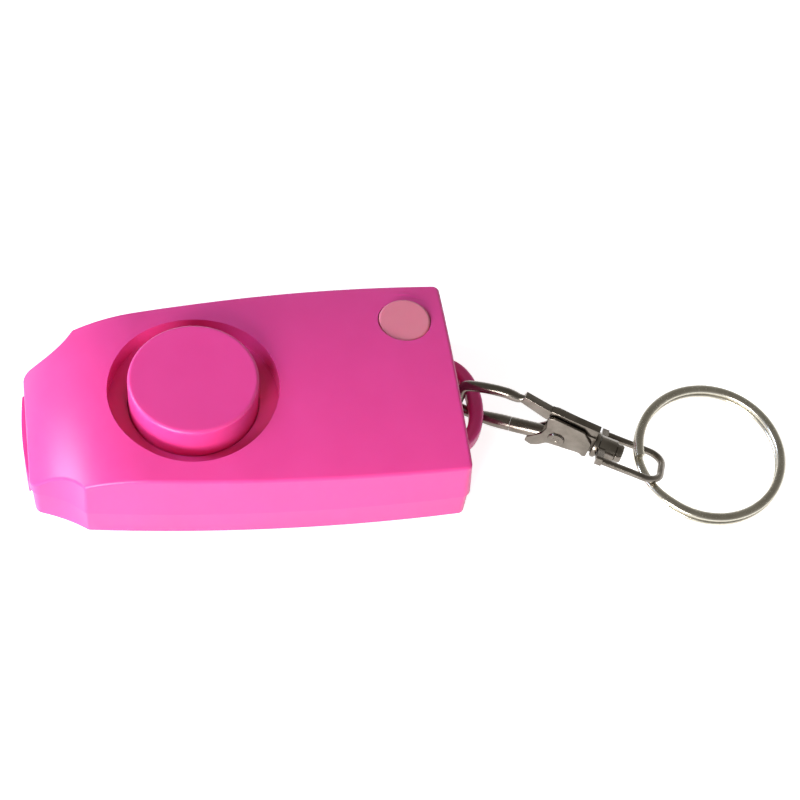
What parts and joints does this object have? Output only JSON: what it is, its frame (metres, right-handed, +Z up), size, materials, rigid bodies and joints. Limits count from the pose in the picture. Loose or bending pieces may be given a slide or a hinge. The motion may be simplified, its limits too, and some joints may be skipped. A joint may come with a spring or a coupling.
{
  "type": "personal safety alarm",
  "caption": "Pocket safety alarm with a sunk round push button, a small torch button, a torch window in the nose and a swivel lever clasp with a split ring.",
  "frame": {"origin": "on the case's underside, straight below the middle of the big button", "axes": "+X along the case towards the clasp, +Y across the case towards the torch button's side, +Z up out of the big button"},
  "size_m": [0.1462, 0.051, 0.0222],
  "materials": {
    "pink_plastic": "satin moulded",
    "soft_pink": "soft sheen",
    "black_plastic": "matt",
    "switch_plastic": "matt",
    "board_laminate": "solder mask",
    "ferrite": "matt",
    "sounder_brass": "rolled",
    "ceramic": "silvered ceramic",
    "cell_steel": "satin",
    "spring_steel": "plated",
    "clear_lens": "polished",
    "led_resin": "clear resin",
    "nickel": "nickel plated, softly polished",
    "ring_steel": "nickel plated"
  },
  "bodies": {
    "case": {"case_top": "pink_plastic", "case_bottom": "pink_plastic", "panic_spring": "spring_steel", "panic_switch": "black_plastic", "torch_switch": "black_plastic", "circuit_board": "board_laminate", "controller_chip": "black_plastic", "boost_coil": "ferrite", "sounder_disc": "sounder_brass", "sounder_ceramic": "ceramic", "coin_cell_lower": "cell_steel", "coin_cell_upper": "cell_steel", "battery_contact_spring": "spring_steel", "battery_contact_side": "spring_steel", "torch_bezel": "pink_plastic", "torch_lens": "clear_lens", "torch_led_1": "led_resin", "torch_led_2": "led_resin", "torch_led_3": "led_resin", "case_screws": "spring_steel"},
    "panic_key": {"panic_button": "pink_plastic", "panic_switch_plunger": "switch_plastic"},
    "torch_key": {"torch_button": "soft_pink", "torch_switch_plunger": "switch_plastic"},
    "battery_cap": {"battery_cap": "pink_plastic"},
    "hook": {"clasp_hook": "nickel", "lever_rivet": "nickel", "lever_spring": "spring_steel"},
    "lever": {"clasp_lever": "nickel"},
    "eye": {"swivel_eye": "nickel"},
    "ring": {"split_ring": "ring_steel"}
  },
  "joints": [
    {"name": "panic_press", "type": "slide", "parent": "case", "child": "panic_key", "axis": [0, 0, -1], "range_m": [0, 0.0012], "stiffness_N_per_m": 800, "springref_m": -0.0012, "deforming": ["panic_spring"]},
    {"name": "torch_press", "type": "slide", "parent": "case", "child": "torch_key", "axis": [0, 0, -1], "range_m": [0, 0.0004], "stiffness_N_per_m": 1200, "springref_m": -0.0006},
    {"name": "battery_cap_turn", "type": "hinge", "parent": "case", "child": "battery_cap", "pos_m": [0.033, 0, 0.001], "axis": [0, 0, 1], "range_deg": [0, 35]},
    {"name": "clasp_swing", "type": "hinge", "parent": "case", "child": "hook", "pos_m": [0.05146, 0.00145, 0.0058], "axis": [0.1251, -0.061, 0.9903], "range_deg": [-30, 60]},
    {"name": "lever_press", "type": "hinge", "parent": "hook", "child": "lever", "pos_m": [0.06975, -0.00747, 0.0047], "axis": [0.4384, 0.8988, 0], "range_deg": [0, 16], "stiffness_Nm_per_rad": 0.012, "springref_deg": -20.05, "deforming": ["lever_spring"]},
    {"name": "eye_swivel", "type": "hinge", "parent": "hook", "child": "eye", "pos_m": [0.07605, -0.01055, 0.00467], "axis": [0.89, -0.4341, -0.1392], "continuous": true},
    {"name": "ring_swing", "type": "hinge", "parent": "eye", "child": "ring", "pos_m": [0.08486, -0.01485, 0.00331], "axis": [-0.057, 0.9946, 0.0871], "range_deg": [-6, 12]}
  ]
}
